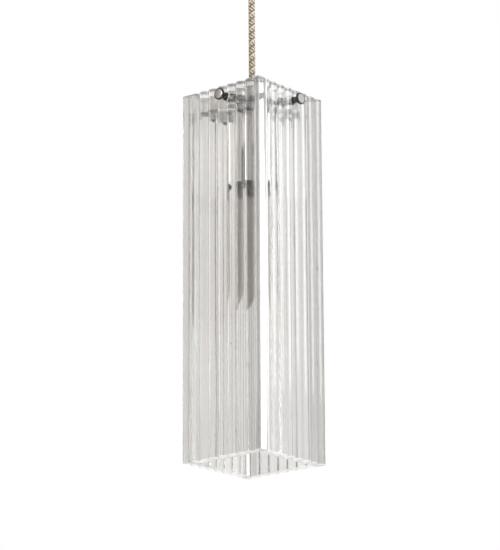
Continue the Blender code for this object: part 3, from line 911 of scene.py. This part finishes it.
@dataclass
class GlassSides:
    """Four identical pressed glass panels, flat inside and ribbed outside."""

    crest: float = 50.0
    rib_depth: float = 4.0
    base: float = 7.2
    pitch: float = 11.8
    full_ribs: int = 6
    butt_gap: float = 0.4
    rim: float = 1.0
    rim_steps: tuple[tuple[float, float], ...] = ((0.08, 0.38), (0.22, 0.32), (0.32, 0.22), (0.38, 0.08))
    edge: float = 2.2
    heel: float = 0.8
    least_rise: float = 0.12
    spot_face: float = 4.75
    stud_hole: float = 2.1

    @property
    def back(self) -> float:
        """Distance of the flat back from the lantern's axis."""
        return self.crest - self.rib_depth - self.base

    @property
    def ends(self) -> tuple[float, float]:
        """Where the +X panel's two long edges are, along Y."""
        return -(self.back - self.butt_gap), self.crest

    def height(self, offset: float) -> float:
        """Rib surface above the valleys, at a distance from the panel's middle."""
        rib = min(abs(offset) // self.pitch, self.full_ribs // 2)
        across, half = abs(offset) - (rib + 0.5) * self.pitch, self.pitch / 2
        radius = (half * half + self.rib_depth ** 2) / (2 * self.rib_depth)
        return max(0.0, math.sqrt(radius * radius - across * across) - radius + self.rib_depth)

    def outline(self, fine: int = 9) -> list[Point]:
        """Section of the +X panel, in metres, with rounded edges.

        Args:
            fine: half the number of steps across a rib.

        Returns:
            Corners of the closed outline at height 0.
        """
        y_low, y_high = self.ends
        middle, half_width = (y_low + y_high) / 2, (y_high - y_low) / 2
        full, half = self.full_ribs / 2 * self.pitch, self.pitch / 2
        steps = [math.sin(math.radians(90 * k / fine)) for k in range(-fine, fine + 1)]
        offsets: list[float] = []
        for rib in range(-self.full_ribs // 2, self.full_ribs // 2):
            offsets += [(rib + 0.5) * self.pitch + half * s for s in steps[:-1]]
        tail = [full + half + half * s for s in steps if full + half + half * s < half_width - self.edge - 0.15]
        tail.append(half_width - self.edge)
        offsets = [-o for o in reversed(tail)] + offsets[1:] + tail
        valley = self.crest - self.rib_depth
        front = [(valley + max(self.height(o), self.least_rise), middle + o) for o in offsets]
        shoulder = valley + self.height(half_width - self.edge)
        round_off = [math.radians(a) for a in range(12, 91, 13)]
        upper = [(shoulder - self.edge * (1 - math.cos(a)), y_high - self.edge * (1 - math.sin(a)))
                 for a in round_off]
        lower = [(x, 2 * middle - y) for x, y in reversed(upper)]
        behind = [(self.back + self.heel * (1 - math.sin(a)), y_high - self.heel * (1 - math.cos(a)))
                  for a in (math.radians(d) for d in range(0, 91, 30))]
        behind_low = [(x, 2 * middle - y) for x, y in reversed(behind)]
        return [(x * MM, y * MM, 0.0) for x, y in lower + front + upper + behind + behind_low]

    def build(self) -> None:
        """Press one panel, drill it, and stand four round the lantern."""
        low, high = (corner[2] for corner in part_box("glass_panel_right"))
        panel = draw_line(self.outline(), True)
        bpy.ops.mesh.edge_face_add()
        face_out()
        bpy.ops.transform.translate(value=(0, 0, low + self.rim * MM))
        rise = high - low - 2 * self.rim * MM
        bpy.ops.mesh.extrude_region_move(TRANSFORM_OT_translate={"value": (0, 0, rise)})
        for end in (1.0, -1.0):
            face_out()
            for inward, out in self.rim_steps:
                pick(panel, lambda middle, normal: normal.z * end > 0.99)
                bpy.ops.mesh.inset(thickness=inward * self.rim * MM, depth=out * self.rim * MM)
        bpy.ops.object.mode_set(mode="OBJECT")
        valley, top = self.crest - self.rib_depth, high / MM
        place = Fastening.axis(Side.RIGHT, top)
        carve(panel, [
            rod(self.spot_face, valley, self.crest + 3, place, 64),
            rod(self.stud_hole, self.back - 3, valley + 1, place, 48),
        ])
        self.mark_faces(panel)
        copies = [(side.word, duplicate(panel, side.turn)) for side in list(Side)[1:]]
        for word, piece in [*copies, (Side.RIGHT.word, panel)]:
            hand_over(piece, f"ribbed_panel_{word}", GLASS, Body.LANTERN.value, [f"glass_panel_{word}"], 32.0)

    def mark_faces(self, panel: bpy.types.Object) -> None:
        """Mark the panel's ground faces and its darker places.

        Ground are both ends and both long edges. Shade is painted in the valleys between ribs, along the outer
        long edge, and at the joint where the next panel's end stands behind.

        Args:
            panel: the finished +X panel.
        """
        middle = (self.crest - self.back + self.butt_gap) / 2
        joint = self.back - self.butt_gap
        valley = panel.data.attributes.new("valley", "FLOAT", "POINT")
        for vert in panel.data.vertices:
            outside = vert.co.x / MM > self.crest - self.rib_depth - 0.5
            depth = 1.0 - self.height(vert.co.y / MM - middle) / self.rib_depth
            dim = min(abs(vert.co.y / MM - place) for place in (joint, self.crest)) < self.edge
            # painted shade: 0.8 by the joint and the outer edge, and the valley's depth to the fourth on the
            # ribbed face
            valley.data[vert.index].value = 0.8 if dim else depth ** 4 if outside else 0.0
        layer = panel.data.attributes.new("cut", "FLOAT", "FACE")
        for face in panel.data.polygons:
            side = min(abs(face.center.y / MM - end) for end in self.ends)
            rim = abs(face.normal.z) > 0.12
            layer.data[face.index].value = 1.0 if rim else 0.6 if side < self.edge * 0.8 else 0.0


@dataclass
class Fastening:
    """Stud, two washers and the knurled thumb nut of one side."""

    wall_inside: float = 35.7
    pan_half: float = 37.2
    valley: float = 46.0
    nut_radius: float = 6.0
    nut_head: float = 2.5
    nut_length: float = 11.4
    collar: float = 3.1
    teeth: int = 44
    shift: float = 5.8
    drop: float = 11.8

    @classmethod
    def axis(cls, side: Side, glass_top: float) -> Matrix:
        """Takes a piece built up Z onto a side's stud axis, pointing outwards.

        Args:
            side: which glass side.
            glass_top: height of the glass's top edge in millimetres.

        Returns:
            The placing matrix.
        """
        return side.turn @ along_x(cls.shift, glass_top - cls.drop)

    @property
    def seat(self) -> float:
        """Where the nut's foot sits, on the outer washer."""
        return self.valley + 1.6

    def nut(self) -> bpy.types.Object:
        """Turn the nut, then press the knurl into its rim."""
        seat, end, r = self.seat, self.seat + self.nut_length, self.nut_radius
        head = seat + self.nut_length - self.nut_head
        nut = lathe([
            (0.0, seat + 7.0), (1.8, seat + 7.0), (1.8, seat), (2.7, seat), (self.collar, seat + 0.4),
            (self.collar, head - 0.5), (self.collar + 0.5, head), (r - 0.35, head), (r, head + 0.35),
            (r, end - 0.45), (r - 0.45, end), (r - 1.3, end), (r - 1.6, end - 0.12), (0.0, end - 0.12),
        ], self.teeth * 2, 0.0)
        only(nut)
        bpy.ops.object.mode_set(mode="EDIT")
        step = math.pi / self.teeth

        def is_land(middle: Vector, normal: Vector) -> bool:
            """Every second face of the rim."""
            on_rim = math.hypot(middle.x, middle.y) > (r - 0.1) * MM and abs(normal.z) < 0.2
            return on_rim and int(math.floor(math.atan2(middle.y, middle.x) / step)) % 2 == 0

        pick(nut, is_land)
        bpy.ops.mesh.inset(thickness=0.09 * MM, depth=-0.22 * MM, use_individual=True)
        bpy.ops.object.mode_set(mode="OBJECT")
        # the "knurl" attribute marks where shade is painted: everywhere but the nut's flat end face
        knurl = nut.data.attributes.new("knurl", "FLOAT", "FACE")
        for face in nut.data.polygons:
            inner = face.normal.z > 0.9 and face.center.z > (end - 0.3) * MM
            knurl.data[face.index].value = 0.0 if inner and face.center.to_2d().length < (r - 1.4) * MM else 1.0
        return nut

    def build(self, glass_top: float) -> None:
        """Make one set and copy it to the four sides."""
        inside, end = self.wall_inside, self.seat + 6.7
        stud = lathe([
            (0.0, 33.9), (2.6, 33.9), (3.0, 34.3), (3.0, inside), (1.5, inside),
            *thread(1.5, 0.18, inside + 0.6, self.seat + 6.3, 0.5), (1.1, end), (0.0, end),
        ], 40, 0.0)
        rings = {
            place: lathe([(1.8, low), (4.2, low), (4.2, low + 1.0), (1.8, low + 1.0)], 64, 0.25)
            for place, low in (("inner", self.pan_half + 0.3), ("outer", self.valley + 0.3))
        }
        nut = self.nut()
        for side in Side:
            word, place = side.word, self.axis(side, glass_top)
            hand_over(duplicate(stud, place), f"threaded_stud_{word}", ZINC, Body.LANTERN.value,
                      [f"stud_{word}"], 50.0)
            for where, ring in rings.items():
                hand_over(duplicate(ring, place), f"{where}_seal_{word}", RUBBER, Body.LANTERN.value,
                          [f"{where}_washer_{word}"])
            hand_over(duplicate(nut, place), f"knurled_nut_{word}", NUT_CHROME, f"nut_{word}",
                      [f"thumb_nut_{word}"], 28.0)
        for pattern in (stud, nut, *rings.values()):
            bpy.data.objects.remove(pattern, do_unlink=True)


@dataclass
class LampHolder:
    """Chrome cup round a ceramic holder with its threaded shell and contact."""

    radius: float = 26.0
    wall: float = 1.2
    mouth: float = -96.0
    holder: float = 19.5

    def build(self, glass_top: float) -> None:
        """Make the cup and what sits in it.

        Args:
            glass_top: height of the glass's top edge in millimetres.
        """
        g, r, w, soft = glass_top, self.radius, self.wall, 3.0
        top, mouth = g - 22.3, g + self.mouth
        cup = lathe([
            (5.4, top), *arc(r - soft, top - soft, soft, 90, 0, 8), (r, mouth + 1.4), (r - 0.25, mouth + 1.1),
            (r, mouth + 0.8), (r, mouth), (r - w, mouth), *arc(r - soft, top - soft, soft - w, 0, 90, 8),
            (5.4, top - w),
        ], 128, 0.12)
        hand_over(cup, "chrome_holder_cup", CUP_CHROME, Body.LANTERN.value, ["holder_cup"])
        h, lid = self.holder, top - w - 0.3
        cap = lathe([
            (5.3, lid), (12.0, lid), *arc(12.0, lid - 7.5, 7.5, 90, 0, 10), (h, g - 40.5), (h, g - 42.0),
            (h - 1.8, g - 42.0), *arc(12.0, lid - 7.5, 5.7, 0, 90, 10), (5.3, lid - 1.8),
        ], 96, 0.2)
        hand_over(cap, "ceramic_holder_cap", GLAZE, Body.LANTERN.value, ["holder_cap"])
        body = lathe([
            (0.0, g - 54.0), (h - 3.0, g - 54.0), (h - 3.0, g - 42.3), (h, g - 42.3), (h, g - 60.0),
            (h - 0.4, g - 60.6), (h - 0.4, g - 84.4), (h, g - 85.0), (h, g - 88.0), (h - 3.0, g - 88.0),
            (h - 3.0, g - 58.0), (0.0, g - 58.0),
        ], 96, 0.25)
        hand_over(body, "ceramic_holder_body", GLAZE, Body.LANTERN.value, ["holder_body"])
        wall = thread(14.95, 0.45, g - 61.0, g - 85.0, 3.6)
        inner = [(radius - 0.6, z) for radius, z in reversed(wall)]
        shell = lathe([
            (6.0, g - 58.3), (14.8, g - 58.3), *wall, (14.9, g - 85.5), (14.3, g - 85.5), *inner,
            (14.1, g - 59.1), (6.0, g - 59.1),
        ], 80, 0.0)
        hand_over(shell, "threaded_holder_shell", BRASS, Body.LANTERN.value, ["holder_shell"], 60.0)
        contact = lathe([
            (0.0, g - 58.3), (3.4, g - 58.3), (3.4, g - 60.2), *arc(1.4, g - 59.9, 1.5, -20, -90, 5),
            (0.0, g - 61.4),
        ], 40, 0.1)
        hand_over(contact, "sprung_holder_contact", BRASS, Body.LANTERN.value, ["holder_contact"])


@dataclass
class TubeBulb:
    """Long tubular bulb with a threaded base."""

    radius: float = 22.0
    tip: float = -219.5
    neck: float = 12.9
    wall: float = 1.0
    swell: float = 16.0
    swell_steps: int = 16

    def build(self, glass_top: float) -> None:
        """Make the contact, insulator, base and envelope.

        Args:
            glass_top: height of the glass's top edge in millimetres.
        """
        g, r, body = glass_top, self.radius, Body.BULB.value
        tip = lathe([
            (0.0, g - 61.8), (2.4, g - 61.8), (4.6, g - 62.8), (4.6, g - 63.4), (0.0, g - 63.4),
        ], 48, 0.15)
        hand_over(tip, "bulb_solder_tip", BRASS, body, ["bulb_tip_contact"])
        cone = lathe([
            (0.0, g - 63.7), (4.9, g - 63.7), (7.5, g - 65.8), (11.4, g - 67.4), (0.0, g - 67.4),
        ], 56, 0.12)
        hand_over(cone, "bulb_black_insulator", VITRITE, body, ["bulb_insulator"])
        base = lathe([
            (0.0, g - 67.7), (11.8, g - 67.7), *thread(13.3, 0.9, g - 69.0, g - 83.4, 3.6),
            (13.3, g - 84.2), (13.3, g - 86.0), (0.0, g - 86.0),
        ], 80, 0.0)
        hand_over(base, "threaded_bulb_base", BULB_METAL, body, ["bulb_base"], 60.0)
        outer: Profile = [(self.neck, g - 86.3)]
        for i in range(1, self.swell_steps + 1):
            s = i / self.swell_steps
            outer.append((self.neck + (r - self.neck) * (3 * s * s - 2 * s ** 3), g - 87.3 - self.swell * s))
        inner = [(x - self.wall, z) for x, z in outer]
        end = g + self.tip
        outer += arc(0, end + r, r, 0, -86, 18) + [(0.0, end)]
        inner += arc(0, end + r, r - self.wall, 0, -86, 18) + [(0.0, end + self.wall)]
        envelope = lathe(list(reversed(inner)) + outer, 96, 0.0)
        hand_over(self.closed(envelope), "opal_bulb_envelope", OPAL, body, ["bulb_glass"], 60.0)

    @staticmethod
    def closed(envelope: bpy.types.Object) -> bpy.types.Object:
        """Merge the envelope's poles."""
        only(envelope)
        bpy.ops.object.mode_set(mode="EDIT")
        face_out(2 * MERGE)
        bpy.ops.object.mode_set(mode="OBJECT")
        return envelope


@dataclass
class KeptPieces:
    """CAD pieces whose shape is right and that only get a finish."""

    finishes: tuple[tuple[str, Finish], ...] = (
        ("ceiling_bracket", ZINC),
        ("terminal_block", NYLON),
        ("rose_lock_nut", BRASS),
        ("pan_lock_nut", BRASS),
        ("cap_lock_nut", BRASS),
        ("pan_grip_screw", ZINC),
    )

    def build(self) -> None:
        """Dress each kept piece through its material slots."""
        for name, finish in self.finishes:
            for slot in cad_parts[name].material_slots:
                slot.material = finish.make()


@dataclass
class Studio:
    """Camera, pale floor, soft light and surroundings."""

    azimuth: float = 40.0
    elevation: float = -15.9
    roll: float = -0.3
    distance: float = 2.936
    lens: float = 213.3504
    sensor: float = 36.0
    aim_side: float = -0.00315
    aim_up: float = 0.1919
    floor: float = -4.6
    floor_size: float = 26.0
    lit_spot: Point = (0.0, 0.0, -0.35)

    def camera(self) -> None:
        """Stand the camera below the lantern, looking up at it."""
        a, e, roll = (math.radians(v) for v in (self.azimuth, self.elevation, self.roll))
        back = Vector((math.sin(a) * math.cos(e), -math.cos(a) * math.cos(e), math.sin(e)))
        right = Vector((math.cos(a), math.sin(a), 0.0))
        up = back.cross(right)
        aim = Vector((0, 0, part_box("glass_panel_front")[0][2] + self.aim_up)) + right * self.aim_side
        level = right * math.cos(roll) + up * math.sin(roll)
        rise = up * math.cos(roll) - right * math.sin(roll)
        data = bpy.data.cameras.new("camera")
        data.sensor_fit, data.sensor_width, data.lens = "HORIZONTAL", self.sensor, self.lens
        data.clip_start, data.clip_end = 0.05, 60.0
        cam = bpy.data.objects.new("camera", data)
        bpy.context.collection.objects.link(cam)
        turn = Matrix((level, rise, back)).transposed().to_4x4()
        cam.matrix_world = Matrix.Translation(aim + back * self.distance) @ turn
        bpy.context.scene.camera = cam

    def surroundings(self) -> None:
        """White behind the lantern, with a softly graded room for glass and chrome to show."""
        world = bpy.data.worlds.new("pale room")
        bpy.context.scene.world = world
        world.use_nodes = True
        graph = Graph(world.node_tree)
        way = graph.node("ShaderNodeTexCoord")["Generated"]
        parts = graph.node("ShaderNodeSeparateXYZ", None, {0: way})
        x, y, z = parts["X"], parts["Y"], parts["Z"]
        across, along = math.cos(math.radians(self.azimuth)), math.sin(math.radians(self.azimuth))
        side, near = x * across + y * along, x * along - y * across
        behind = graph.tint(side.step(-0.7, 0.7), (0.89, 0.86, 0.83), (0.94, 0.94, 0.94))
        front = graph.tint(side.step(-0.8, 0.4), (0.48, 0.44, 0.40), (0.96, 0.98, 1.0))
        walls = graph.tint(near.step(-0.2, 0.35), behind, front)
        room = graph.tint(z.step(-0.9, -0.3), (0.80, 0.80, 0.80), walls)
        seen = graph.node("ShaderNodeLightPath")["Is Camera Ray"]
        colour = graph.tint(seen, room, (1.0, 1.0, 1.0))
        shade = graph.node("ShaderNodeBackground", None, {"Color": colour, "Strength": 1.0})
        graph.node("ShaderNodeOutputWorld", None, {"Surface": shade["Background"]})

    def light(self, name: str, place: Point, size: float, power: float, colour: Point) -> None:
        """A square soft light aimed at the lantern.

        Args:
            name: the light's name.
            place: where it stands.
            size: its side in metres.
            power: watts.
            colour: its colour.
        """
        data = bpy.data.lights.new(name, "AREA")
        data.size, data.energy, data.color = size, power, colour
        lamp = bpy.data.objects.new(name, data)
        bpy.context.collection.objects.link(lamp)
        lamp.location = place
        lamp.rotation_euler = (Vector(self.lit_spot) - Vector(place)).to_track_quat("-Z", "Y").to_euler()

    def build(self) -> None:
        """Set the floor and the lights."""
        deselect()
        bpy.ops.mesh.primitive_plane_add(size=self.floor_size, location=(0, 0, self.floor))
        floor = bpy.context.active_object
        floor.name = "studio_floor"
        floor.data.materials.append(FLOOR.make())
        self.surroundings()
        self.light("right_window", (2.3, -0.4, 0.6), 1.7, 42.0, (1.0, 1.0, 1.0))
        self.light("floor_bounce", (0.2, -0.5, -1.9), 2.2, 18.0, (1.0, 1.0, 1.0))
        self.light("left_fill", (-2.6, -0.9, 0.5), 1.2, 9.0, (1.0, 0.97, 0.94))
        bpy.context.scene.view_settings.view_transform = "Standard"


def main() -> None:
    """Build every sub-assembly in order."""
    logging.basicConfig(level=logging.INFO, format="%(name)s: %(message)s")
    studio = Studio()
    studio.camera()
    glass_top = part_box("glass_panel_front")[1][2] / MM
    steps: list[tuple[str, Callable[[], None]]] = [
        ("cords", Cords().build),
        ("ceiling fitting", CeilingFitting().build),
        ("carrier", lambda: Carrier().build(glass_top)),
        ("glass sides", GlassSides().build),
        ("fastenings", lambda: Fastening().build(glass_top)),
        ("lamp holder", lambda: LampHolder().build(glass_top)),
        ("bulb", lambda: TubeBulb().build(glass_top)),
        ("kept pieces", KeptPieces().build),
        ("studio", studio.build),
    ]
    for title, build in steps:
        build()


if __name__ == "__main__":
    main()
